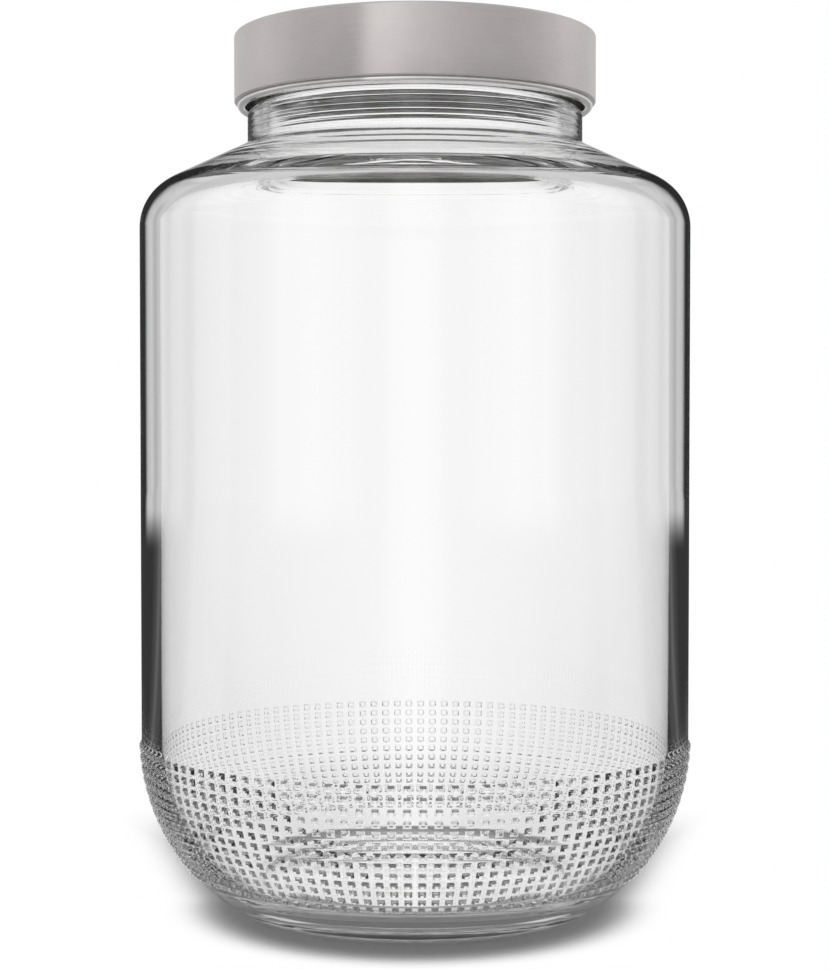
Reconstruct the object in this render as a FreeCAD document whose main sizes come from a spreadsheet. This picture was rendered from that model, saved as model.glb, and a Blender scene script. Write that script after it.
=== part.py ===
# Wide-mouth glass storage jar with a brushed steel screw lid, closed and empty.
#
# The jar is one piece of glass. Its outside rises from a narrow contact ring through a
# long heel curve to a straight wall, then over a round shoulder and a flat slope to the
# neck bead and the finish that the lid screws on. The inside follows at wall thickness.
# The lid is drawn sheet: a sunk panel, a channel over the rim that holds the sealing
# ring, a plain skirt, and a hem turned in and rolled into a round curl below the skirt.
#
# Millimetres. The origin is the centre of the contact ring, and +Z is up.

import FreeCAD, Part

import math
import os

import Sketcher

vector = FreeCAD.Vector

# Driving dimensions: alias, value, what it is
dimensions = [
    ("bodyRadius", 82.5, "outside of the straight wall"),
    ("wall", 6.0, "glass thickness of heel, straight wall and shoulder"),
    ("wallFoot", 51.7, "height where the heel curve meets the straight wall"),
    ("heelRadius", 61.4, "long curve of the heel"),
    ("footRadius", 13.4, "tight curve from the heel into the contact ring"),
    ("wallHead", 203.3, "height where the straight wall meets the shoulder"),
    ("shoulderRadius", 15.5, "round of the shoulder"),
    ("shoulderSlope", 25.5, "slope from the shoulder to the neck, in degrees"),
    ("neckRadius", 50.35, "outside of the neck and its bead"),
    ("neckHollow", 2.6, "hollow round where the slope meets the neck"),
    ("beadTop", 239.2, "top of the neck bead"),
    ("beadRound", 2.1, "rounded top edge of the neck bead"),
    ("finishRadius", 48.0, "outside of the finish inside the lid"),
    ("boreRadius", 43.5, "inside of the mouth"),
    ("boreRound", 6.0, "round where the mouth opens into the shoulder"),
    ("rimHeight", 259.7, "top of the rim"),
    ("lipRound", 1.6, "rounded edges of the rim"),
    ("floorHeight", 9.0, "inside floor above the contact ring"),
    ("floorRound", 14.0, "round between the inside floor and the heel"),
    ("standRadius", 46.8, "inner edge of the contact ring"),
    ("standRise", 2.0, "height of the step inside the contact ring"),
    ("standRamp", 2.6, "width of the step inside the contact ring"),
    ("standRound", 1.2, "round of the step's edges"),
    ("pushUp", 3.6, "rise of the underside at its middle"),
    ("lidRadius", 54.3, "outside of the lid"),
    ("lidTop", 261.3, "highest face of the lid"),
    ("lidFoot", 241.1, "underside of the turned hem"),
    ("sheetMetal", 0.6, "thickness of the lid's sheet"),
    ("lidEdge", 0.9, "round between the lid's top and its skirt"),
    ("hemEdge", 0.5, "round between the skirt and the hem"),
    ("panelRadius", 40.0, "edge of the sunk panel"),
    ("panelDrop", 1.0, "depth of the sunk panel"),
    ("panelRamp", 1.4, "width of the ramp round the panel"),
    ("panelRound", 0.5, "rounds of the ramp"),
    ("curlMiddle", 52.1, "radius from the axis to the curl's middle"),
    ("curlHeight", 240.35, "height of the curl's middle"),
    ("curlRadius", 1.3, "radius of the rolled curl"),
    ("sealInner", 41.6, "inside of the sealing ring"),
    ("sealOuter", 53.4, "outside of the sealing ring"),
]

glassDensity = 2.50e-3   # grams per cubic millimetre
steelDensity = 7.80e-3
sealDensity = 1.20e-3

document = FreeCAD.newDocument("StorageJar")
sheet = document.addObject("Spreadsheet::Sheet", "Dimensions")
for row, (alias, value, note) in enumerate(dimensions, start=1):
    sheet.set("A%d" % row, note)
    sheet.set("B%d" % row, str(value))
    sheet.setAlias("B%d" % row, alias)
document.recompute()

# Sketcher's numbers for the points of a line or arc, and for the sketch's own axes
start, end = 1, 2
originPoint, xAxis, yAxis = -1, -1, -2

onAxis = (0.0, None)      # radius of a point on the jar's axis
onGround = (0.0, None)    # height of a point in the contact plane


def cell(*terms):
    """Value and expression of a sum of sheet cells; a leading minus takes one away."""
    value = 0.0
    expression = ""
    for term in terms:
        alias = term.lstrip("-")
        sign = -1 if term.startswith("-") else 1
        value += sign * float(sheet.get(alias))
        expression += (" - " if sign < 0 else " + ") + "Dimensions." + alias
    return value, expression.removeprefix(" + ")


def makeBody(label):
    body = document.addObject("PartDesign::Body", label)
    body.Label = label
    return body


def makeSketch(body, name):
    """Half section on the body's own XZ plane: x is the radius and y is the height."""
    sketch = body.newObject("Sketcher::SketchObject", name)
    plane = [item for item in body.Origin.OriginFeatures if item.Role == "XZ_Plane"][0]
    sketch.AttachmentSupport = [(plane, "")]
    sketch.MapMode = "FlatFace"
    return sketch


def addLine(sketch, first, last):
    segment = Part.LineSegment(vector(first[0], first[1], 0), vector(last[0], last[1], 0))
    return sketch.addGeometry(segment, False)


def addArc(sketch, middle, radius, fromAngle, toAngle):
    circle = Part.Circle(vector(middle[0], middle[1], 0), vector(0, 0, 1), radius)
    return sketch.addGeometry(Part.ArcOfCircle(circle, fromAngle, toAngle), False)


def constrain(sketch, *constraint):
    return sketch.addConstraint(Sketcher.Constraint(*constraint))


def drive(sketch, name, expression, *constraint):
    """Adds a named dimension to the sketch and binds it to the sheet."""
    sketch.renameConstraint(constrain(sketch, *constraint), name)
    sketch.setExpression("Constraints." + name, expression)


def placeRadius(sketch, geometry, point, radius):
    """Sets how far a point lies from the jar's axis."""
    if radius == onAxis:
        constrain(sketch, "PointOnObject", geometry, point, yAxis)
        return
    name = "radius%d" % sketch.ConstraintCount
    drive(sketch, name, radius[1], "DistanceX", originPoint, 1, geometry, point, radius[0])


def placeHeight(sketch, geometry, point, height):
    """Sets how high a point lies above the contact plane."""
    if height == onGround:
        constrain(sketch, "PointOnObject", geometry, point, xAxis)
        return
    name = "height%d" % sketch.ConstraintCount
    drive(sketch, name, height[1], "DistanceY", originPoint, 1, geometry, point, height[0])


def addPolygon(sketch, corners):
    """Closed outline of straight lines, each corner given as its radius and height."""
    points = [(radius[0], height[0]) for radius, height in corners]
    lines = [addLine(sketch, points[i - 1], points[i]) for i in range(len(points))]
    for i, (radius, height) in enumerate(corners):
        placeRadius(sketch, lines[i], end, radius)
        placeHeight(sketch, lines[i], end, height)
        constrain(sketch, "Coincident", lines[i - 1], end, lines[i], start)


def turn(body, sketch, name, kind="PartDesign::Revolution"):
    """Full turn of a half section, added to the body or cut from it; gives the volume."""
    before = body.Shape.Volume if body.Tip else 0.0
    feature = body.newObject(kind, name)
    feature.Profile = sketch
    feature.ReferenceAxis = (sketch, ["V_Axis"])
    feature.Angle = 360.0
    body.Tip = feature
    document.recompute()
    change = body.Shape.Volume - before
    expected = -1 if kind == "PartDesign::Groove" else 1
    if change * expected < 1.0:
        raise RuntimeError("%s changed the volume by %.2f" % (name, change))
    return abs(change)


def cutTurn(body, sketch, name):
    return turn(body, sketch, name, "PartDesign::Groove")


def circlesAt(shape, radius, height):
    """Names of the shape's edges that are circles round the axis at this place."""
    names = []
    for index, edge in enumerate(shape.Edges, start=1):
        if edge.Degenerated or not isinstance(edge.Curve, Part.Circle):
            continue
        curve = edge.Curve
        if abs(curve.Radius - radius) < 0.01 and abs(curve.Center.z - height) < 0.01:
            names.append("Edge%d" % index)
    return names


def roundEdges(body, name, radiusAlias, *places):
    """Rounds the circular edges at the given places, each a radius and a height."""
    base = body.Tip
    names = [edge for place in places for edge in circlesAt(base.Shape, *place)]
    if len(names) != len(places):
        raise RuntimeError("%s found %d of %d edges" % (name, len(names), len(places)))
    feature = body.newObject("PartDesign::Fillet", name)
    feature.Base = (base, names)
    feature.setExpression("Radius", "Dimensions." + radiusAlias)
    body.Tip = feature
    document.recompute()


def addVesselOutline(sketch, inset, floor, floorRound, neck, top):
    """Half section from the floor to the neck, for the outside and for the cavity alike.

    The inset is the list of cells that the cavity lies inside the outside form. Gives the
    place of the corner between the slope and the neck.
    """
    wall = cell("bodyRadius", *inset)
    heelRadius = cell("heelRadius", *inset)
    shoulderRadius = cell("shoulderRadius", *inset)
    wallFoot, wallHead = cell("wallFoot"), cell("wallHead")
    slope = math.radians(cell("shoulderSlope")[0])

    # the floor's round touches the floor and lies inside the heel curve
    heelMiddle = (wall[0] - heelRadius[0], wallFoot[0])
    reach = heelRadius[0] - floorRound[0]
    heelAngle = math.asin((heelMiddle[1] - floor[0] - floorRound[0]) / reach)
    floorMiddle = (heelMiddle[0] + reach * math.cos(heelAngle), floor[0] + floorRound[0])
    # the shoulder's round turns until it has the slope's direction
    shoulderMiddle = (wall[0] - shoulderRadius[0], wallHead[0])
    slopeFoot = (shoulderMiddle[0] + shoulderRadius[0] * math.sin(slope),
                 shoulderMiddle[1] + shoulderRadius[0] * math.cos(slope))
    corner = (neck[0], slopeFoot[1] + (slopeFoot[0] - neck[0]) * math.tan(slope))

    outline = [
        addLine(sketch, (0, floor[0]), (floorMiddle[0], floor[0])),
        addArc(sketch, floorMiddle, floorRound[0], -math.pi / 2, -heelAngle),
        addArc(sketch, heelMiddle, heelRadius[0], -heelAngle, 0),
        addLine(sketch, (wall[0], wallFoot[0]), (wall[0], wallHead[0])),
        addArc(sketch, shoulderMiddle, shoulderRadius[0], 0, math.pi / 2 - slope),
        addLine(sketch, slopeFoot, corner),
        addLine(sketch, corner, (neck[0], top[0])),
        addLine(sketch, (neck[0], top[0]), (0, top[0])),
        addLine(sketch, (0, top[0]), (0, floor[0])),
    ]
    floorLine, floorArc, heelArc, wallLine, shoulderArc, slopeLine, neckLine = outline[:7]
    for first, second in zip(outline[:5], outline[1:6]):
        constrain(sketch, "Tangent", first, end, second, start)
    for first, second in zip(outline[5:], outline[6:] + outline[:1]):
        constrain(sketch, "Coincident", first, end, second, start)

    placeHeight(sketch, floorLine, start, floor)
    placeRadius(sketch, floorLine, start, onAxis)
    constrain(sketch, "Horizontal", floorLine)
    drive(sketch, "floorRound", floorRound[1], "Radius", floorArc, floorRound[0])
    drive(sketch, "heelRadius", heelRadius[1], "Radius", heelArc, heelRadius[0])
    placeRadius(sketch, wallLine, start, wall)
    placeHeight(sketch, wallLine, start, wallFoot)
    placeHeight(sketch, wallLine, end, wallHead)
    constrain(sketch, "Vertical", wallLine)
    drive(sketch, "shoulderRadius", shoulderRadius[1], "Radius", shoulderArc, shoulderRadius[0])
    drive(sketch, "slope", "180 - Dimensions.shoulderSlope", "Angle", slopeLine, math.pi - slope)
    placeRadius(sketch, neckLine, start, neck)
    constrain(sketch, "Vertical", neckLine)
    placeHeight(sketch, neckLine, end, top)
    constrain(sketch, "Horizontal", outline[7])
    placeRadius(sketch, outline[7], end, onAxis)
    return corner


def addPushUp(sketch):
    """Half section of the hollow under the jar: a short step, then a shallow dome."""
    rim, rise = cell("standRadius"), cell("standRise")
    edge, crown = cell("standRadius", "-standRamp"), cell("pushUp")
    sagitta = crown[0] - rise[0]
    domeRadius = (edge[0] ** 2 + sagitta ** 2) / (2 * sagitta)
    domeAngle = math.asin(edge[0] / domeRadius)

    ground = addLine(sketch, (0, 0), (rim[0], 0))
    step = addLine(sketch, (rim[0], 0), (edge[0], rise[0]))
    dome = addArc(sketch, (0, crown[0] - domeRadius), domeRadius,
                  math.pi / 2 - domeAngle, math.pi / 2)
    axis = addLine(sketch, (0, crown[0]), (0, 0))
    constrain(sketch, "Coincident", ground, end, step, start)
    constrain(sketch, "Coincident", step, end, dome, start)
    constrain(sketch, "Coincident", dome, end, axis, start)
    constrain(sketch, "Coincident", axis, end, ground, start)
    constrain(sketch, "Coincident", ground, start, originPoint, 1)
    constrain(sketch, "PointOnObject", dome, 3, yAxis)
    constrain(sketch, "PointOnObject", dome, end, yAxis)
    placeHeight(sketch, ground, end, onGround)
    placeRadius(sketch, ground, end, rim)
    placeRadius(sketch, step, end, edge)
    placeHeight(sketch, step, end, rise)
    placeHeight(sketch, dome, end, crown)


def makeJar():
    body = makeBody("jar")
    finish, bore, rim = cell("finishRadius"), cell("boreRadius"), cell("rimHeight")
    neck, beadTop = cell("neckRadius"), cell("beadTop")

    outside = makeSketch(body, "OutsideSection")
    neckCorner = addVesselOutline(outside, [], onGround, cell("footRadius"), neck, beadTop)
    turn(body, outside, "Outside")

    finishSection = makeSketch(body, "FinishSection")
    addPolygon(finishSection, [(onAxis, cell("wallHead")), (finish, cell("wallHead")),
                               (finish, rim), (onAxis, rim)])
    turn(body, finishSection, "Finish")
    roundEdges(body, "NeckHollow", "neckHollow", neckCorner)
    roundEdges(body, "BeadRound", "beadRound", (neck[0], beadTop[0]))

    cavity = makeSketch(body, "CavitySection")
    boreCorner = addVesselOutline(cavity, ["-wall"], cell("floorHeight"),
                                  cell("floorRound"), bore, rim)
    capacity = cutTurn(body, cavity, "Cavity")
    roundEdges(body, "BoreRound", "boreRound", boreCorner)
    roundEdges(body, "LipRound", "lipRound", (finish[0], rim[0]), (bore[0], rim[0]))

    underside = makeSketch(body, "UndersideSection")
    addPushUp(underside)
    cutTurn(body, underside, "PushUp")
    stepHead = (cell("standRadius", "-standRamp")[0], cell("standRise")[0])
    roundEdges(body, "StandRound", "standRound", (cell("standRadius")[0], 0.0), stepHead)
    return body, capacity


def makeLid():
    body = makeBody("lid")
    skirt, top, foot = cell("lidRadius"), cell("lidTop"), cell("lidFoot")
    panel, ramp = cell("panelRadius"), cell("panelRadius", "panelRamp")
    panelTop = cell("lidTop", "-panelDrop")

    blank = makeSketch(body, "BlankSection")
    addPolygon(blank, [(onAxis, foot), (skirt, foot), (skirt, top), (ramp, top),
                       (panel, panelTop), (onAxis, panelTop)])
    turn(body, blank, "Blank")

    inside = makeSketch(body, "InsideSection")
    skirtInside, hem = cell("lidRadius", "-sheetMetal"), cell("curlMiddle")
    topInside, hemTop = cell("lidTop", "-sheetMetal"), cell("lidFoot", "sheetMetal")
    panelInside = cell("lidTop", "-panelDrop", "-sheetMetal")
    addPolygon(inside, [(onAxis, foot), (hem, foot), (hem, hemTop), (skirtInside, hemTop),
                        (skirtInside, topInside), (ramp, topInside),
                        (panel, panelInside), (onAxis, panelInside)])
    cutTurn(body, inside, "Inside")
    roundEdges(body, "TopEdge", "lidEdge", (skirt[0], top[0]))
    roundEdges(body, "HemEdge", "hemEdge", (skirt[0], foot[0]))
    roundEdges(body, "PanelRounds", "panelRound", (ramp[0], top[0]), (panel[0], panelTop[0]))

    curl = makeSketch(body, "CurlSection")
    middle, height, radius = cell("curlMiddle"), cell("curlHeight"), cell("curlRadius")
    ring = Part.Circle(vector(middle[0], height[0], 0), vector(0, 0, 1), radius[0])
    circle = curl.addGeometry(ring, False)
    drive(curl, "curlRadius", radius[1], "Radius", circle, radius[0])
    placeRadius(curl, circle, 3, middle)
    placeHeight(curl, circle, 3, height)
    turn(body, curl, "Curl")
    return body


def makeSeal():
    """Flat ring in the lid's channel, between the sheet and the rim."""
    body = makeBody("sealing_ring")
    section = makeSketch(body, "RingSection")
    inner, outer = cell("sealInner"), cell("sealOuter")
    rim, channel = cell("rimHeight"), cell("lidTop", "-sheetMetal")
    addPolygon(section, [(inner, rim), (outer, rim), (outer, channel), (inner, channel)])
    turn(body, section, "Ring")
    return body


jar, capacity = makeJar()
lid = makeLid()
seal = makeSeal()
parts = {"jar": jar, "lid": lid, "sealing_ring": seal}
densities = {"jar": glassDensity, "lid": steelDensity, "sealing_ring": sealDensity}

for body in parts.values():
    body.Placement = FreeCAD.Placement()
document.recompute()

for item in document.Objects:
    if "Invalid" in item.State or "Error" in item.State:
        raise RuntimeError("%s did not compute" % item.Name)
    if item.TypeId == "Sketcher::SketchObject" and not item.FullyConstrained:
        raise RuntimeError("%s is not fully constrained" % item.Name)
for name, body in parts.items():
    if body.Shape.isNull() or not body.Shape.isValid() or len(body.Shape.Solids) != 1:
        raise RuntimeError("%s is not one valid solid" % name)

os.makedirs("parts", exist_ok=True)
total = 0.0
for name, body in parts.items():
    body.Shape.exportStep(os.path.join("parts", name + ".step"))
    mass = body.Shape.Volume * densities[name]
    total += mass
    print("%s: %.1f cm3, %.0f g" % (name, body.Shape.Volume / 1000, mass))
print("capacity to the rim %.2f l, mass %.0f g" % (capacity / 1e6, total))
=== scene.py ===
import math

import bpy
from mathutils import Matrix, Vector


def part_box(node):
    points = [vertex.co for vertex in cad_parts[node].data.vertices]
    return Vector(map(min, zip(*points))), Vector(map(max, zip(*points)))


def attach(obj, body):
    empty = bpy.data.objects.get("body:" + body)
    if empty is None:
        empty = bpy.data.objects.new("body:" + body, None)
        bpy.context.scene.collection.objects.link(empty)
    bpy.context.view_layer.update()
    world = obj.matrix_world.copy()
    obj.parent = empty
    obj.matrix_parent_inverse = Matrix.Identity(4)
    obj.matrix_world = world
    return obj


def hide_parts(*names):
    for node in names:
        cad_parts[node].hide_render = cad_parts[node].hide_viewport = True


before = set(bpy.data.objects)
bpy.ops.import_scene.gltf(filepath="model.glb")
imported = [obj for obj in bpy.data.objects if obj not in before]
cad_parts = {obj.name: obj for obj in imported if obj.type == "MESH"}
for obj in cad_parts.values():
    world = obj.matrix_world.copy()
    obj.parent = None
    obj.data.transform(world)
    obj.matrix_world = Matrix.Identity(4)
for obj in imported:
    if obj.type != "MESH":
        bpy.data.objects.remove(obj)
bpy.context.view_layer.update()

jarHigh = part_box("jar")[1]
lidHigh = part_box("lid")[1]
sealLow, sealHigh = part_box("sealing_ring")

mm = 0.001
fullTurn = 2 * math.pi
onAxis = 1e-7           # a ring smaller than this is one point
sharpFrom = 22          # degrees between two faces from which their edge is sharp

# outlines are lists of (radius, height) points, later turned round the jar's axis


def straight(first, last, count=1):
    # points after the first one, up to and with the last
    steps = [(i + 1) / count for i in range(count)]
    return [(first[0] + (last[0] - first[0]) * f, first[1] + (last[1] - first[1]) * f) for f in steps]


def arc(middle, radius, fromDegrees, toDegrees, count):
    # points after the start, 0 degrees is outwards and 90 is up
    points = []
    for i in range(count):
        angle = math.radians(fromDegrees + (toDegrees - fromDegrees) * (i + 1) / count)
        points.append((middle[0] + radius * math.cos(angle), middle[1] + radius * math.sin(angle)))
    return points


def heading(start, end):
    # direction from one point to another, of length 1
    x, y = end[0] - start[0], end[1] - start[1]
    length = math.hypot(x, y)
    return x / length, y / length


def roundedCorner(before, corner, after, radius, count=4):
    # arc that rounds the corner between two straight runs
    ux, uy = heading(corner, before)
    vx, vy = heading(corner, after)
    wx, wy = heading((0.0, 0.0), (ux + vx, uy + vy))
    half = math.acos(max(-1.0, min(1.0, ux * vx + uy * vy))) / 2
    reach = radius / math.tan(half)
    middle = (corner[0] + wx * radius / math.sin(half), corner[1] + wy * radius / math.sin(half))
    start = math.atan2(corner[1] + uy * reach - middle[1], corner[0] + ux * reach - middle[0])
    stop = math.atan2(corner[1] + vy * reach - middle[1], corner[0] + vx * reach - middle[0])
    turn = (stop - start + math.pi) % fullTurn - math.pi
    angles = [start + turn * i / count for i in range(count + 1)]
    return [(middle[0] + radius * math.cos(a), middle[1] + radius * math.sin(a)) for a in angles]


def roundedOutline(corners, closed=True):
    # each corner is (radius, height, rounding)
    points = []
    count = len(corners)
    for i, (x, y, rounding) in enumerate(corners):
        before, after = corners[i - 1], corners[(i + 1) % count]
        openEnd = not closed and i in (0, count - 1)
        if rounding <= 0 or openEnd:
            points.append((x, y))
        else:
            points += roundedCorner(before[:2], (x, y), after[:2], rounding)
    return points


# turned meshes are rings of points, joined ring to ring


def evenRing(radius, height, count):
    if radius < onAxis:
        return [(0.0, 0.0, height)]
    angles = [fullTurn * i / count for i in range(count)]
    return [(radius * math.cos(a), radius * math.sin(a), height) for a in angles]


def bridge(faces, firstStart, firstCount, secondStart, secondCount):
    # quads between rings of one size, triangles between rings of two sizes or round a pole
    if firstCount == secondCount:
        for i in range(firstCount):
            j = (i + 1) % firstCount
            faces.append((firstStart + i, firstStart + j, secondStart + j, secondStart + i))
        return
    if firstCount == 1:
        for i in range(secondCount):
            faces.append((firstStart, secondStart + (i + 1) % secondCount, secondStart + i))
        return
    if secondCount == 1:
        for i in range(firstCount):
            faces.append((firstStart + i, firstStart + (i + 1) % firstCount, secondStart))
        return
    i = j = 0
    done = 2.0          # later than any place on a ring, which end at 1
    while i < firstCount or j < secondCount:
        nextFirst = (i + 1) / firstCount if i < firstCount else done
        nextSecond = (j + 1) / secondCount if j < secondCount else done
        a, b = firstStart + i % firstCount, secondStart + j % secondCount
        if nextFirst <= nextSecond:
            i += 1
            faces.append((a, firstStart + i % firstCount, b))
        else:
            j += 1
            faces.append((a, secondStart + j % secondCount, b))


def addObject(name, data):
    thing = bpy.data.objects.new(name, data)
    bpy.context.collection.objects.link(thing)
    return thing


def turnedMesh(name, rings, closed=False):
    points, faces, starts = [], [], []
    for ring in rings:
        starts.append(len(points))
        points += ring
    pairs = list(zip(range(len(rings)), range(1, len(rings))))
    if closed:
        pairs.append((len(rings) - 1, 0))
    for a, b in pairs:
        bridge(faces, starts[a], len(rings[a]), starts[b], len(rings[b]))
    mesh = bpy.data.meshes.new(name)
    mesh.from_pydata(points, [], faces)
    mesh.validate()
    mesh.shade_smooth()
    mesh.set_sharp_from_angle(angle=math.radians(sharpFrom))
    return addObject(name, mesh)


def turned(name, outline, count, closed=False):
    return turnedMesh(name, [evenRing(r, z, count) for r, z in outline], closed)


def finishPiece(piece, material, slot, *nodes):
    piece.data.materials.append(material)
    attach(piece, "root")
    if nodes:
        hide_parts(*nodes)


# shader nodes


def feed(tree, socket, value):
    # a plain value goes on the socket, the output of a node is linked to it
    if isinstance(value, (int, float, tuple)):
        socket.default_value = value
    else:
        tree.links.new(value, socket)


def addNode(tree, kind, inputs=None, **settings):
    node = tree.nodes.new(kind)
    for name, value in settings.items():
        setattr(node, name, value)
    for socket, value in (inputs or {}).items():
        feed(tree, node.inputs[socket], value)
    return node


def maths(tree, operation, *values):
    node = addNode(tree, "ShaderNodeMath", operation=operation)
    for socket, value in zip(node.inputs, values):
        feed(tree, socket, value)
    return node.outputs[0]


def spread(tree, value, fromMin, fromMax, toMin=0.0, toMax=1.0, smooth=False):
    ends = {"Value": value, "From Min": fromMin, "From Max": fromMax, "To Min": toMin, "To Max": toMax}
    kind = "SMOOTHSTEP" if smooth else "LINEAR"
    return addNode(tree, "ShaderNodeMapRange", ends, interpolation_type=kind).outputs["Result"]


def mixed(tree, share, first, second, kind="FLOAT"):
    # the first where the share is 0, the second where it is 1
    parts = {"Factor": share, "A": first, "B": second}
    return addNode(tree, "ShaderNodeMix", parts, data_type=kind).outputs["Result"]


def mixedShaders(tree, share, first, second):
    return addNode(tree, "ShaderNodeMixShader", {"Fac": share, 1: first, 2: second}).outputs[0]


def glowing(tree, level):
    return addNode(tree, "ShaderNodeEmission", {"Color": level}).outputs[0]


def bumped(tree, height, distance, strength, normal=None):
    node = addNode(tree, "ShaderNodeBump", {"Strength": strength, "Distance": distance, "Height": height})
    if normal is not None:
        tree.links.new(normal, node.inputs["Normal"])
    return node.outputs["Normal"]


def axes(tree, vector):
    return addNode(tree, "ShaderNodeSeparateXYZ", {0: vector}).outputs


def lengthOf(tree, vector):
    return addNode(tree, "ShaderNodeVectorMath", {0: vector}, operation="LENGTH").outputs["Value"]


def objectPlace(tree):
    return addNode(tree, "ShaderNodeTexCoord").outputs["Object"]


def rayKinds(path):
    return (path.outputs[name] for name in ("Is Camera Ray", "Is Glossy Ray", "Is Transmission Ray"))


def levelRamp(tree, value, stops):
    # grey levels along a value from 0 to 1
    ramp = addNode(tree, "ShaderNodeValToRGB", {"Fac": value})
    marks = ramp.color_ramp.elements
    for i, (place, level) in enumerate(stops):
        mark = marks[i] if i < 2 else marks.new(place)
        mark.position = place
        mark.color = (level, level, level, 1.0)
    return ramp.outputs["Color"]


def newGroup(name, inputs, outputs):
    tree = bpy.data.node_groups.new(name, "ShaderNodeTree")
    for label, kind in inputs:
        tree.interface.new_socket(label, in_out="INPUT", socket_type=kind)
    for label in outputs:
        tree.interface.new_socket(label, in_out="OUTPUT", socket_type="NodeSocketFloat")
    return tree, tree.nodes.new("NodeGroupInput"), tree.nodes.new("NodeGroupOutput")


def placeGroup(tree, group, inputs):
    node = tree.nodes.new("ShaderNodeGroup")
    node.node_tree = group
    for label, value in inputs.items():
        feed(tree, node.inputs[label], value)
    return node.outputs


def newMaterial(name):
    material = bpy.data.materials.new(name)
    material.use_nodes = True
    return material, material.node_tree, material.node_tree.nodes["Principled BSDF"]


def showOn(tree, result):
    tree.links.new(result, tree.nodes["Material Output"].inputs["Surface"])


brushNoise = {
    "lines": {"Scale": 1.0, "Detail": 3.0, "Roughness": 0.65},
    "clouds": {"Scale": 45.0, "Detail": 4.0, "Roughness": 0.6},
}


def makeBrushGroup():
    # fine lines that run round the axis: the coordinate across them is radius minus height
    sockets = [("Fineness", "NodeSocketFloat"), ("Length", "NodeSocketFloat")]
    tree, entry, leave = newGroup("BrushLines", sockets, ("Lines", "Clouds"))
    fineness, length = entry.outputs["Fineness"], entry.outputs["Length"]
    place = objectPlace(tree)
    x, y, z = axes(tree, place)
    angle = maths(tree, "ARCTAN2", y, x)
    square = maths(tree, "ADD", maths(tree, "POWER", x, 2.0), maths(tree, "POWER", y, 2.0))
    across = maths(tree, "SUBTRACT", maths(tree, "SQRT", square), z)
    joined = addNode(tree, "ShaderNodeCombineXYZ", {
        "X": maths(tree, "MULTIPLY", maths(tree, "SINE", angle), length),
        "Y": maths(tree, "MULTIPLY", maths(tree, "COSINE", angle), length),
        "Z": maths(tree, "MULTIPLY", across, fineness),
    })
    lines = addNode(tree, "ShaderNodeTexNoise", {"Vector": joined.outputs[0], **brushNoise["lines"]})
    clouds = addNode(tree, "ShaderNodeTexNoise", {"Vector": place, **brushNoise["clouds"]})
    tree.links.new(lines.outputs["Fac"], leave.inputs["Lines"])
    tree.links.new(clouds.outputs["Fac"], leave.inputs["Clouds"])
    return tree


glassLook = {
    "tint": (0.997, 0.998, 0.997, 1.0),
    "ior": 1.52,
    "shadowFacing": (0.95, 0.95, 0.95, 1.0),   # what a surface leaves of a lamp's light, straight on
    "shadowEdge": (0.15, 0.15, 0.15, 1.0),     # and at its edge
    # slow upright ripple of a blown wall
    "rippleScale": (90.0, 90.0, 9.0), "rippleNoise": {"Scale": 1.0, "Detail": 2.0}, "rippleHeight": 0.00002,
    # rings left round the neck by the forming rolls
    "ringsPerMetre": 650.0, "ringNoise": {"Scale": 1.0, "Detail": 1.0}, "ringHeight": 0.00026,
    "ringsFrom": 0.218, "ringsTo": 0.224,
}


def makeGlass():
    look = glassLook
    material, tree, shader = newMaterial("clearGlass")
    shader.inputs["Base Color"].default_value = look["tint"]
    shader.inputs["Roughness"].default_value = 0.0
    shader.inputs["IOR"].default_value = look["ior"]
    shader.inputs["Transmission Weight"].default_value = 1.0
    place = objectPlace(tree)
    stretched = addNode(tree, "ShaderNodeMapping", {"Vector": place, "Scale": look["rippleScale"]}).outputs[0]
    ripple = addNode(tree, "ShaderNodeTexNoise", {"Vector": stretched, **look["rippleNoise"]})
    rippled = bumped(tree, ripple.outputs["Fac"], look["rippleHeight"], 1.0)
    height = axes(tree, place)["Z"]
    rings = addNode(tree, "ShaderNodeTexNoise", noise_dimensions="1D", inputs={
        "W": maths(tree, "MULTIPLY", height, look["ringsPerMetre"]), **look["ringNoise"],
    })
    atNeck = spread(tree, height, look["ringsFrom"], look["ringsTo"], smooth=True)
    ringed = maths(tree, "MULTIPLY", rings.outputs["Fac"], atNeck)
    tree.links.new(bumped(tree, ringed, look["ringHeight"], 1.0, rippled), shader.inputs["Normal"])
    # lamps shine through to the floor
    edge = addNode(tree, "ShaderNodeLayerWeight", {"Blend": 0.5}).outputs["Facing"]
    left = mixed(tree, edge, look["shadowFacing"], look["shadowEdge"], "RGBA")
    clear = addNode(tree, "ShaderNodeBsdfTransparent", {"Color": left})
    shadowRay = addNode(tree, "ShaderNodeLightPath").outputs["Is Shadow Ray"]
    showOn(tree, mixedShaders(tree, shadowRay, shader.outputs[0], clear.outputs[0]))
    return material


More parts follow.
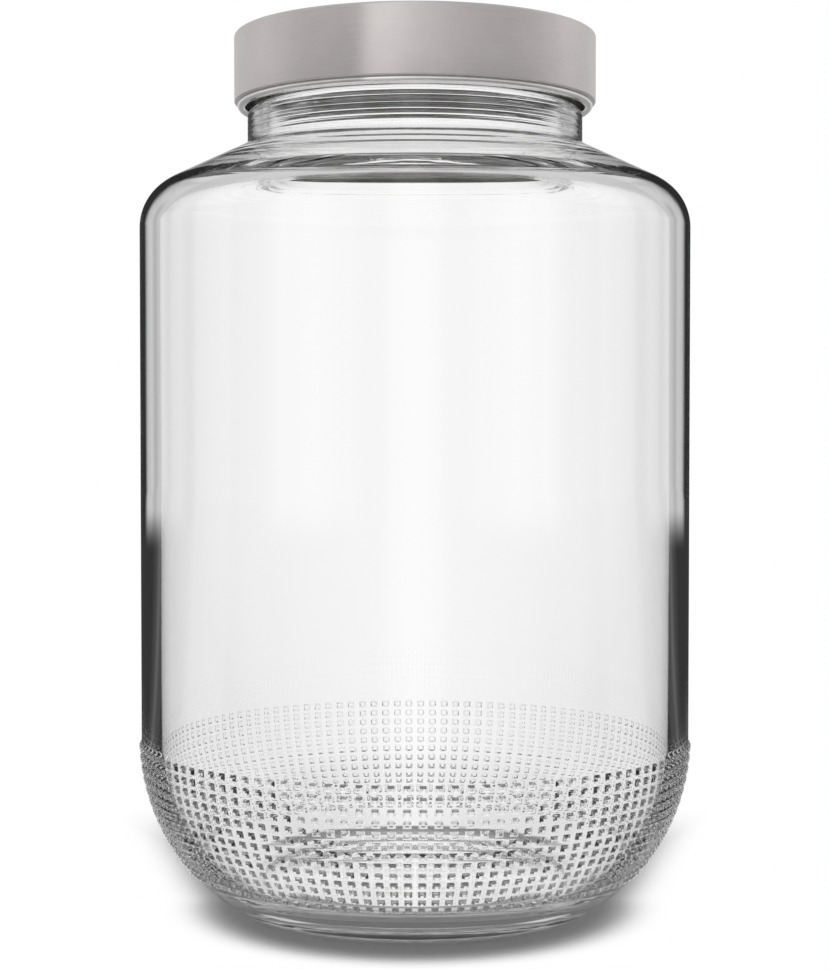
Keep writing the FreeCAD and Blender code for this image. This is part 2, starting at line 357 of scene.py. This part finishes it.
jarShape = {
    "wall": 6.0 * mm,
    "wallFoot": 51.7 * mm, "heelRadius": 61.4 * mm, "footRadius": 13.4 * mm,
    "wallHead": 203.3 * mm, "shoulderRadius": 15.5 * mm, "shoulderSlope": 25.5,
    "neckRadius": 50.35 * mm, "neckHollow": 2.6 * mm, "beadTop": 239.2 * mm, "beadRound": 2.1 * mm,
    "finishRadius": 48.0 * mm, "boreRadius": 43.5 * mm, "boreRound": 6.0 * mm, "lipRound": 1.6 * mm,
    "floorHeight": 9.0 * mm, "floorRound": 20.0 * mm,
    "standRadius": 46.8 * mm, "standRise": 2.0 * mm, "standRamp": 6.0 * mm, "standRound": 1.2 * mm,
    "pushUp": 3.6 * mm,
    "segments": 122, "threadSegments": 244,
    # steps of the arcs and runs
    "underSteps": 8, "floorSteps": 12, "heelSteps": 24, "wallSteps": 6, "shoulderSteps": 14,
    "cornerSteps": 8, "lipSteps": 6, "threadSteps": 24, "flatSteps": 6,
}

studs = {
    "columns": 122, "rows": 13,
    "firstRow": 48.7 * mm,                      # height of the first row's middle
    "pitch": 3.2 * mm,                          # from row to row along the heel
    "margin": 0.7,                              # from an outer row's middle to plain glass, in pitches
    "height": 0.8 * mm,
    # outline of one stud: places in column or row pitches, with the height there
    "across": ((-0.29, 0.0), (-0.21, 0.55), (-0.115, 1.0), (0.115, 1.0), (0.21, 0.55), (0.29, 0.0)),
    "down": ((-0.35, 0.0), (-0.235, 0.55), (-0.125, 1.0), (0.125, 1.0), (0.235, 0.55), (0.35, 0.0)),
}

thread = {
    "top": 256.2 * mm, "pitch": 5.08 * mm, "turns": 1.6,
    "height": 1.4 * mm, "halfWidth": 1.7 * mm,
    "fade": 0.12,                               # turns over which it rises at each end
    "crown": 1.5,                               # the higher, the more pointed its section
    "overBead": 0.2 * mm, "underLip": 0.3 * mm,     # plain finish under and over the threaded rings
}


def vesselOutline(inset, floorHeight, floorRound, neckRadius):
    # from the floor to the corner under the neck; shared by the outside and the cavity
    s = jarShape
    wallRadius = jarHigh.x - inset
    heelRadius = s["heelRadius"] - inset
    shoulderRadius = s["shoulderRadius"] - inset
    heel = (wallRadius - heelRadius, s["wallFoot"])
    shoulder = (wallRadius - shoulderRadius, s["wallHead"])
    reach = heelRadius - floorRound
    heelAngle = math.degrees(math.asin((heel[1] - floorHeight - floorRound) / reach))
    floorMiddle = (heel[0] + reach * math.cos(math.radians(heelAngle)), floorHeight + floorRound)
    points = [(floorMiddle[0], floorHeight)]
    points += arc(floorMiddle, floorRound, -90, -heelAngle, s["floorSteps"])
    points += arc(heel, heelRadius, -heelAngle, 0, s["heelSteps"])
    points += straight(points[-1], (wallRadius, s["wallHead"]), s["wallSteps"])
    points += arc(shoulder, shoulderRadius, 0, 90 - s["shoulderSlope"], s["shoulderSteps"])
    foot = points[-1]
    rise = (foot[0] - neckRadius) * math.tan(math.radians(s["shoulderSlope"]))
    return points, (neckRadius, foot[1] + rise)


def heelPlace(distance):
    # point and outward direction on the outside, by the distance down from the heel's top
    s = jarShape
    if distance <= 0:
        return (jarHigh.x, s["wallFoot"] - distance), (1.0, 0.0)
    angle = -distance / s["heelRadius"]
    heel = jarHigh.x - s["heelRadius"]
    out = (math.cos(angle), math.sin(angle))
    return (heel + s["heelRadius"] * out[0], s["wallFoot"] + s["heelRadius"] * out[1]), out


def studRings():
    # rings of the studded band, from its lowest row up
    rings = []
    top = jarShape["wallFoot"] - studs["firstRow"]
    for row in reversed(range(studs["rows"])):
        for down, downRise in reversed(studs["down"]):
            (radius, height), out = heelPlace(top + (row + down) * studs["pitch"])
            ring = []
            for column in range(studs["columns"]):
                for across, acrossRise in studs["across"]:
                    rise = studs["height"] * max(0.0, 1 - math.hypot(1 - acrossRise, 1 - downRise))
                    angle = fullTurn * (column + across) / studs["columns"]
                    r = radius + rise * out[0]
                    ring.append((r * math.cos(angle), r * math.sin(angle), height + rise * out[1]))
            rings.append(ring)
    return rings


def threadRise(angle, height):
    # height of the screw thread over the finish at this place
    best = 0.0
    for turn in range(math.ceil(thread["turns"]) + 1):
        along = angle / fullTurn + turn
        if along > thread["turns"]:
            break
        middle = thread["top"] - thread["pitch"] * along
        away = abs(height - middle) / thread["halfWidth"]
        ends = min(1.0, along / thread["fade"], (thread["turns"] - along) / thread["fade"])
        best = max(best, max(0.0, ends) * (1 - min(1.0, away) ** 2) ** thread["crown"])
    return best * thread["height"]


def threadedRings(low, high):
    segments, count = jarShape["threadSegments"], jarShape["threadSteps"]
    rings = []
    for i in range(count + 1):
        height = low + (high - low) * i / count
        ring = []
        for j in range(segments):
            angle = fullTurn * j / segments
            radius = jarShape["finishRadius"] + threadRise(angle, height)
            ring.append((radius * math.cos(angle), radius * math.sin(angle), height))
        rings.append(ring)
    return rings


def undersideOutline(outsideStart):
    # from the middle of the underside out to the contact ring
    s = jarShape
    edge = (s["standRadius"] - s["standRamp"], s["standRise"])
    stand = (s["standRadius"], 0.0)
    sagitta = s["pushUp"] - s["standRise"]
    domeRadius = (edge[0] ** 2 + sagitta ** 2) / (2 * sagitta)
    domeAngle = math.degrees(math.asin(edge[0] / domeRadius))
    points = [(0.0, s["pushUp"])]
    points += arc((0.0, s["pushUp"] - domeRadius), domeRadius, 90, 90 - domeAngle, s["underSteps"])[:-1]
    points += roundedCorner(points[-1], edge, stand, s["standRound"])
    points += roundedCorner(edge, stand, outsideStart, s["standRound"])
    return points


def makeJar(material):
    s = jarShape
    count = s["segments"]
    rim = jarHigh.z
    outside, neckCorner = vesselOutline(0.0, 0.0, s["footRadius"], s["neckRadius"])
    underside = undersideOutline(outside[0])

    # outside below and above the studs
    top = s["wallFoot"] - studs["firstRow"]
    lowest = heelPlace(top + (studs["rows"] - 1 + studs["margin"]) * studs["pitch"])[0][1]
    highest = studs["firstRow"] + studs["margin"] * studs["pitch"]
    below = [p for p in outside if p[1] < lowest]
    above = [(jarHigh.x, highest)] + [p for p in outside if p[1] > highest]

    beadEdge = (s["neckRadius"], s["beadTop"])
    finishFoot = (s["finishRadius"], s["beadTop"])
    above += roundedCorner(above[-1], neckCorner, beadEdge, s["neckHollow"], s["cornerSteps"])
    above += roundedCorner(neckCorner, beadEdge, finishFoot, s["beadRound"], s["cornerSteps"])

    lipOutside, lipInside = (s["finishRadius"], rim), (s["boreRadius"], rim)
    lip = roundedCorner(finishFoot, lipOutside, lipInside, s["lipRound"], s["lipSteps"])
    lip += roundedCorner(lipOutside, lipInside, (s["boreRadius"], 0.0), s["lipRound"], s["lipSteps"])
    cavity, boreCorner = vesselOutline(s["wall"], s["floorHeight"], s["floorRound"], s["boreRadius"])
    inside = roundedCorner(lipInside, boreCorner, cavity[-1], s["boreRound"], s["cornerSteps"])
    inside += list(reversed(cavity))
    inside += straight(cavity[0], (0.0, s["floorHeight"]), s["flatSteps"])

    rings = [evenRing(r, z, count) for r, z in underside + below]
    rings += studRings()
    rings += [evenRing(r, z, count) for r, z in above]
    rings += threadedRings(s["beadTop"] + thread["overBead"], rim - s["lipRound"] - thread["underLip"])
    rings += [evenRing(r, z, count) for r, z in lip + inside]
    finishPiece(turnedMesh("jarGlass", rings), material, "clear_glass", "jar")


lidShape = {
    "sheet": 0.6 * mm,
    "topEdge": 0.9 * mm, "hemEdge": 0.5 * mm, "hemInside": 0.1 * mm, "foot": 241.1 * mm,
    "panelRadius": 40.0 * mm, "panelDrop": 1.0 * mm, "panelRamp": 1.4 * mm, "panelRound": 0.5 * mm,
    "curlMiddle": 52.1 * mm, "curlHeight": 240.35 * mm, "curlRadius": 1.3 * mm, "curlSteps": 24,
    "segments": 244,
}

steelLook = {
    # brush is the fineness and the length of the brush lines
    "brushed": {
        "brush": (9000.0, 5.0), "color": (0.605, 0.566, 0.562), "shades": (0.90, 1.10),
        "roughness": (0.25, 0.37), "bumpStrength": 0.5, "bumpDepth": 0.000012,
        "anisotropic": 0.75, "rotation": 0.25,
        "lineShare": 0.6, "cloudShare": 0.4, "sharesFrom": 0.35, "sharesTo": 0.65,
    },
    # inside of the lid: darker steel, painted shade where little light gets in
    "shadedInside": {
        "brush": (1500.0, 2.0), "dark": (0.20, 0.195, 0.19, 1.0), "light": (0.34, 0.335, 0.33, 1.0),
        "roughness": (0.30, 0.42),
    },
    "polished": {
        "brush": (5000.0, 3.0), "dark": (0.66, 0.65, 0.64, 1.0), "light": (0.78, 0.77, 0.76, 1.0),
        "roughness": (0.08, 0.16),
    },
    "linesFrom": 0.3, "linesTo": 0.7,       # values of the lines over which the roughness changes
}


def shaded(color, share):
    return tuple(min(1.0, c * share) for c in color) + (1.0,)


def startSteel(name, look, brushLines):
    material, tree, shader = newMaterial(name)
    shader.inputs["Metallic"].default_value = 1.0
    fineness, length = look["brush"]
    brush = placeGroup(tree, brushLines, {"Fineness": fineness, "Length": length})
    roughness = spread(tree, brush["Lines"], steelLook["linesFrom"], steelLook["linesTo"], *look["roughness"])
    tree.links.new(roughness, shader.inputs["Roughness"])
    return material, tree, shader, brush


def makeBrushedSteel(brushLines):
    look = steelLook["brushed"]
    material, tree, shader, brush = startSteel("brushedSteel", look, brushLines)
    shader.inputs["Anisotropic"].default_value = look["anisotropic"]
    shader.inputs["Anisotropic Rotation"].default_value = look["rotation"]
    tangent = addNode(tree, "ShaderNodeTangent", direction_type="RADIAL", axis="Z")
    tree.links.new(tangent.outputs[0], shader.inputs["Tangent"])
    lines = maths(tree, "MULTIPLY", brush["Lines"], look["lineShare"])
    clouds = maths(tree, "MULTIPLY", brush["Clouds"], look["cloudShare"])
    share = spread(tree, maths(tree, "ADD", lines, clouds), look["sharesFrom"], look["sharesTo"])
    low, high = (shaded(look["color"], shade) for shade in look["shades"])
    tree.links.new(mixed(tree, share, low, high, "RGBA"), shader.inputs["Base Color"])
    normal = bumped(tree, brush["Lines"], look["bumpDepth"], look["bumpStrength"])
    tree.links.new(normal, shader.inputs["Normal"])
    return material


def makePlainSteel(name, look, brushLines):
    material, tree, shader, brush = startSteel(name, look, brushLines)
    color = mixed(tree, brush["Clouds"], look["dark"], look["light"], "RGBA")
    tree.links.new(color, shader.inputs["Base Color"])
    return material


def makeLid(brushed, shadedInside, polished):
    # brushed outside, inside painted darker as shade, polished curl
    s = lidShape
    outer, top, foot, sheet = lidHigh.x, lidHigh.z, s["foot"], s["sheet"]
    panel, ramp = s["panelRadius"], s["panelRadius"] + s["panelRamp"]
    panelTop = top - s["panelDrop"]
    corners = [
        (0.0, panelTop, 0), (panel, panelTop, s["panelRound"]), (ramp, top, s["panelRound"]),
        (outer, top, s["topEdge"]), (outer, foot, s["hemEdge"]), (s["curlMiddle"], foot, 0),
        (s["curlMiddle"], foot + sheet, 0), (outer - sheet, foot + sheet, s["hemInside"]),
        (outer - sheet, top - sheet, s["topEdge"] - sheet), (ramp, top - sheet, s["panelRound"]),
        (panel, panelTop - sheet, s["panelRound"]), (0.0, panelTop - sheet, 0),
    ]
    outline = roundedOutline(corners, closed=False)
    outline.reverse()   # from the inside middle round the hem to the top middle
    shell = turned("lidShell", outline, s["segments"])
    finishPiece(shell, brushed, "brushed_steel", "lid")
    # faces inside the lid take the darker steel, painted shade
    shell.data.materials.append(shadedInside)
    for face in shell.data.polygons:
        middle = face.center
        inside = math.hypot(middle.x, middle.y) < outer - 0.5 * sheet and foot + 2 * sheet < middle.z
        face.material_index = int(inside and middle.z < panelTop - 0.5 * sheet)
    curlMiddle = (s["curlMiddle"], s["curlHeight"])
    curlOutline = arc(curlMiddle, s["curlRadius"], 0, 360, s["curlSteps"])
    curl = turned("lidCurl", curlOutline, s["segments"], closed=True)
    finishPiece(curl, polished, "brushed_steel")


sealLook = {
    "edge": 0.25 * mm, "inner": 41.6 * mm, "segments": 244,
    "color": (0.84, 0.83, 0.79), "shades": (0.93, 1.0), "roughness": 0.55,
    "noise": {"Scale": 900.0, "Detail": 3.0}, "bumpStrength": 0.3, "bumpDepth": 0.00005,
}


def makeSealMaterial():
    look = sealLook
    material, tree, shader = newMaterial("sealingCompound")
    shader.inputs["Roughness"].default_value = look["roughness"]
    grain = addNode(tree, "ShaderNodeTexNoise", look["noise"]).outputs["Fac"]
    low, high = (shaded(look["color"], shade) for shade in look["shades"])
    tree.links.new(mixed(tree, grain, low, high, "RGBA"), shader.inputs["Base Color"])
    tree.links.new(bumped(tree, grain, look["bumpDepth"], look["bumpStrength"]), shader.inputs["Normal"])
    return material


def makeSeal(material):
    inner, outer, low, high = sealLook["inner"], sealHigh.x, sealLow.z, sealHigh.z
    edge = sealLook["edge"]
    corners = [(inner, low, edge), (outer, low, edge), (outer, high, edge), (inner, high, edge)]
    ring = turned("sealingRing", roundedOutline(corners), sealLook["segments"], closed=True)
    finishPiece(ring, material, "sealing_compound", "sealing_ring")


eighth = 45.0       # degrees from a quarter of a turn to half way to the next

studio = {
    "floorHalf": 3.0,
    "floorColor": (0.80, 0.80, 0.80, 1.0), "floorRoughness": 0.9,
    "floorGlow": 0.62,          # added for the camera, so that the floor is white
    "floorGlowInMetal": 0.05,
    # painted shadow: the patch where the floor gets no glow and stays grey past its real shadow: half its
    # width, how it widens behind the jar, its reach in front, and the shares of these over which the white
    # comes in
    "patchWidth": 0.0715, "paintedShadowWidens": 0.28, "paintedShadowFront": 0.078, "paintedShadowBehind": (0.06, 0.15),
    "glowShares": (0.78, 1.05), "backdropShares": (0.86, 1.08),
    "backdropInMetal": 0.55,
    # what glass shows of the floor, by how steeply it is looked at; only under the jar is it dark, as painted
    # shade
    "byTilt": [(0, 1.0), (30, 1.0), (33, 0.22), (42, 0.22), (52, 0.85), (90, 0.85)],
    # the painted shade under the jar ends between these distances
    "underFrom": 0.083, "underTo": 0.10,
    "skyLevel": 0.35,           # plain light on everything
    # what glass shows straight on and away from it, and over how many degrees it changes
    "glassLevel": (1.03, 0.89), "glassTurn": (0.0, 16.0),
    "overhead": (24.0, 42.0), "overheadLevel": 0.12,        # what glass shows overhead, by elevation
    # a wall of glass has two surfaces, and light that passed more has met a second wall
    "oneWallSurfaces": 2.5,
    # levels by degrees from the nearest quarter of a turn: for light that left the glass by the
    # wall it came in by, towards the walls and towards the floor, and for what clear glass mirrors
    "byQuarter": {
        "OneWall": [(0, 0.02), (21, 0.03), (27, 0.60), (33, 0.60), (38, 0.32), (43, 0.55), (45, 0.55)],
        "OneWallOnFloor": [(0, 0.02), (36, 0.03), (42, 0.08), (45, 0.16)],
        "Mirror": [(0, 0.60), (9, 0.55), (12, 0.03), (30, 0.03), (36, 0.70), (45, 0.72)],
        "MirrorOnFloor": [(0, 0.60), (9, 0.50), (14, 0.05), (45, 0.05)],
    },
    "oneWallAtFoot": 0.16, "footEnds": (0.062, 0.085),
    "oneWallAbove": 0.6, "above": (13.0, 22.0),             # by elevation
    "floorMeets": (1.7, 2.9),   # over these distances the floor takes on the walls' levels
    # what brushed metal mirrors, by degrees round from the front
    "metalLevel": 1.2,
    "round": [
        (-180, 0.58), (-150, 0.60), (-127, 0.66), (-105, 0.75), (-88, 0.67), (-73, 0.59), (-59, 0.61),
        (-34, 0.54), (-31, 1.0), (-14, 0.97), (-6, 0.88), (1, 0.78), (12, 0.73), (24, 0.66), (36, 0.60),
        (61, 0.55), (75, 0.575), (91, 0.65), (109, 0.78), (132, 0.65), (180, 0.58),
    ],
    "lamps": [
        # name, place, aim, size, power
        ("top", (0.0, -0.30, 1.15), (0.0, 0.0, 0.0), 0.40, 3.2),
    ],
}


def makeRoundGroup():
    # levels of the studio by direction: of the walls, and of what glass shows
    outputs = ("Level", "Elevation", "StraightOn", *studio["byQuarter"])
    tree, entry, leave = newGroup("StudioRound", [("Direction", "NodeSocketVector")], outputs)
    unit = addNode(tree, "ShaderNodeVectorMath", {0: entry.outputs["Direction"]}, operation="NORMALIZE")
    x, y, z = axes(tree, unit.outputs[0])
    angle = maths(tree, "ARCTAN2", x, maths(tree, "MULTIPLY", y, -1.0))
    turn = maths(tree, "MULTIPLY_ADD", angle, 1 / fullTurn, 0.5)
    stops = [(degrees / 360 + 0.5, level) for degrees, level in studio["round"]]
    quarters = maths(tree, "PINGPONG", maths(tree, "MULTIPLY", turn, 360.0), eighth)
    results = {
        "Level": maths(tree, "MULTIPLY", levelRamp(tree, turn, stops), studio["metalLevel"]),
        "Elevation": maths(tree, "MULTIPLY", maths(tree, "ARCSINE", z), 360 / fullTurn),
        "StraightOn": spread(tree, quarters, *studio["glassTurn"], *studio["glassLevel"]),
    }
    share = maths(tree, "DIVIDE", quarters, eighth)
    for name, levels in studio["byQuarter"].items():
        results[name] = levelRamp(tree, share, [(degrees / eighth, level) for degrees, level in levels])
    for name, result in results.items():
        tree.links.new(result, leave.inputs[name])
    return tree


def oneWall(tree, path):
    # 1 for light that left by the wall it came in by
    return maths(tree, "LESS_THAN", path.outputs["Transmission Depth"], studio["oneWallSurfaces"])


def addPaintedShadow(tree, place):
    # painted shadow: the patch where the floor is kept grey; the way out of it in shares of its size, and the
    # way behind it
    x, y = axes(tree, place)[:2]
    behind, before = (maths(tree, kind, y, 0.0) for kind in ("MAXIMUM", "MINIMUM"))
    width = maths(tree, "MULTIPLY_ADD", behind, studio["paintedShadowWidens"], studio["patchWidth"])
    patch = addNode(tree, "ShaderNodeCombineXYZ", {
        "X": maths(tree, "DIVIDE", x, width),
        "Y": maths(tree, "DIVIDE", before, studio["paintedShadowFront"]),
    })
    return lengthOf(tree, patch.outputs[0]), behind


def addFloorInGlass(tree, far, walls):
    # level of the floor through glass, with painted shade under the jar for steep rays
    facing = addNode(tree, "ShaderNodeLayerWeight", {"Blend": 0.5}).outputs["Facing"]
    stops = [(math.sin(math.radians(degrees)), level) for degrees, level in studio["byTilt"]]
    tilted = levelRamp(tree, maths(tree, "SUBTRACT", 1.0, facing), stops)
    outer = spread(tree, far, studio["underFrom"], studio["underTo"], smooth=True)
    return maths(tree, "MULTIPLY", mixed(tree, outer, tilted, 1.0), walls["StraightOn"])


def makeFloor(studioRound):
    half = studio["floorHalf"]
    mesh = bpy.data.meshes.new("floor")
    corners = [(-half, -half, 0), (half, -half, 0), (half, half, 0), (-half, half, 0)]
    mesh.from_pydata(corners, [], [(0, 1, 2, 3)])
    floor = addObject("floor", mesh)
    material, tree, shader = newMaterial("paleFloor")
    shader.inputs["Base Color"].default_value = studio["floorColor"]
    shader.inputs["Roughness"].default_value = studio["floorRoughness"]
    shader.inputs["Specular IOR Level"].default_value = 0.0
    path = addNode(tree, "ShaderNodeLightPath")
    camera, metal, glass = rayKinds(path)
    place = objectPlace(tree)
    walls = placeGroup(tree, studioRound, {"Direction": place})
    far = lengthOf(tree, place)
    apart, behind = addPaintedShadow(tree, place)

    # near the jar: its own color and shadow, with the glow coming in; inside the patch the glow is held back,
    # which paints shadow there
    seen = maths(tree, "MULTIPLY", camera, studio["floorGlow"])
    seen = maths(tree, "MULTIPLY_ADD", metal, studio["floorGlowInMetal"], seen)
    fade = spread(tree, apart, *studio["glowShares"], smooth=True)
    glow = glowing(tree, maths(tree, "MULTIPLY", seen, fade))
    near = addNode(tree, "ShaderNodeAddShader", {0: shader.outputs[0], 1: glow}).outputs[0]

    # farther out: the white backdrop, and at the floor's end the levels of the walls
    meets = spread(tree, far, *studio["floorMeets"], smooth=True)

    def meeting(name):
        return mixed(tree, meets, walls[name + "OnFloor"], walls[name])

    inMetal = maths(tree, "MULTIPLY", walls["Level"], studio["backdropInMetal"])
    inMetal = mixed(tree, path.outputs["Is Singular Ray"], inMetal, meeting("Mirror"))
    backdrop = glowing(tree, mixed(tree, metal, 1.0, inMetal))
    # the white backdrop starts outside the painted shadow's patch and behind it
    runs = spread(tree, apart, *studio["backdropShares"], smooth=True)
    runs = maths(tree, "MAXIMUM", runs, spread(tree, behind, *studio["paintedShadowBehind"], smooth=True))
    shown = maths(tree, "MULTIPLY", runs, maths(tree, "MAXIMUM", camera, metal))
    plain = mixedShaders(tree, shown, near, backdrop)

    # through glass, and dark for light that left the glass by the wall it came in by
    throughGlass = glowing(tree, addFloorInGlass(tree, far, walls))
    clear = mixedShaders(tree, glass, plain, throughGlass)
    beyondFoot = spread(tree, far, *studio["footEnds"], smooth=True)
    dark = glowing(tree, mixed(tree, beyondFoot, studio["oneWallAtFoot"], meeting("OneWall")))
    showOn(tree, mixedShaders(tree, maths(tree, "MULTIPLY", glass, oneWall(tree, path)), clear, dark))
    mesh.materials.append(material)


def makeWorld(studioRound):
    world = bpy.data.worlds.new("studio")
    bpy.context.scene.world = world
    world.use_nodes = True
    tree = world.node_tree
    path = addNode(tree, "ShaderNodeLightPath")
    camera, metal, glass = rayKinds(path)
    direction = addNode(tree, "ShaderNodeTexCoord").outputs["Generated"]
    walls = placeGroup(tree, studioRound, {"Direction": direction})
    elevation = walls["Elevation"]
    # through glass: white, dark overhead, and dark where light left by the wall it came in by
    overhead = spread(tree, elevation, *studio["overhead"], smooth=True)
    inGlass = mixed(tree, overhead, walls["StraightOn"], studio["overheadLevel"])
    above = spread(tree, elevation, *studio["above"], smooth=True)
    fromOneWall = mixed(tree, above, walls["OneWall"], studio["oneWallAbove"])
    inGlass = mixed(tree, oneWall(tree, path), inGlass, fromOneWall)
    inMetal = mixed(tree, path.outputs["Is Singular Ray"], walls["Level"], walls["Mirror"])
    level = mixed(tree, metal, studio["skyLevel"], inMetal)
    level = mixed(tree, glass, level, inGlass)
    level = mixed(tree, camera, level, 1.0)
    tree.links.new(level, tree.nodes["Background"].inputs["Color"])


def addLamp(name, place, aim, size, power):
    data = bpy.data.lights.new(name, "AREA")
    data.shape = "DISK"
    data.size = size
    data.energy = power
    lamp = addObject(name, data)
    lamp.location = place
    lamp.rotation_euler = (Vector(aim) - Vector(place)).to_track_quat("-Z", "Y").to_euler()
    lamp.visible_glossy = False
    lamp.visible_transmission = False


cameraView = {
    "distance": 605.5 * mm, "eyeHeight": 145.5 * mm, "sideways": -0.3 * mm,
    "tilt": 1.78, "lens": 74.17, "sensor": 36.0, "nearest": 0.01, "farthest": 20.0,
}


def makeCamera():
    view = cameraView
    data = bpy.data.cameras.new("view")
    data.sensor_width = view["sensor"]
    data.lens = view["lens"]
    data.clip_start = view["nearest"]
    data.clip_end = view["farthest"]
    camera = addObject("view", data)
    camera.location = (view["sideways"], -view["distance"], view["eyeHeight"])
    camera.rotation_euler = (math.radians(90 - view["tilt"]), 0.0, 0.0)
    bpy.context.scene.camera = camera


def setRender():
    # light needs many bounces to leave the thick corners of the glass
    scene = bpy.context.scene
    scene.view_settings.view_transform = "Standard"
    scene.cycles.max_bounces = 64
    scene.cycles.transmission_bounces = 32
    scene.cycles.glossy_bounces = 48


print("materials")
brushLines = makeBrushGroup()
clearGlass = makeGlass()
brushedSteel = makeBrushedSteel(brushLines)
# the darker steel inside the lid is painted shade
shadedInsideSteel = makePlainSteel("shadedInsideSteel", steelLook["shadedInside"], brushLines)
polishedSteel = makePlainSteel("polishedSteel", steelLook["polished"], brushLines)
sealingCompound = makeSealMaterial()
print("jar")
makeJar(clearGlass)
print("lid and sealing ring")
makeLid(brushedSteel, shadedInsideSteel, polishedSteel)
makeSeal(sealingCompound)
print("studio")
studioRound = makeRoundGroup()
makeFloor(studioRound)
makeWorld(studioRound)
for lamp in studio["lamps"]:
    addLamp(*lamp)
makeCamera()
setRender()
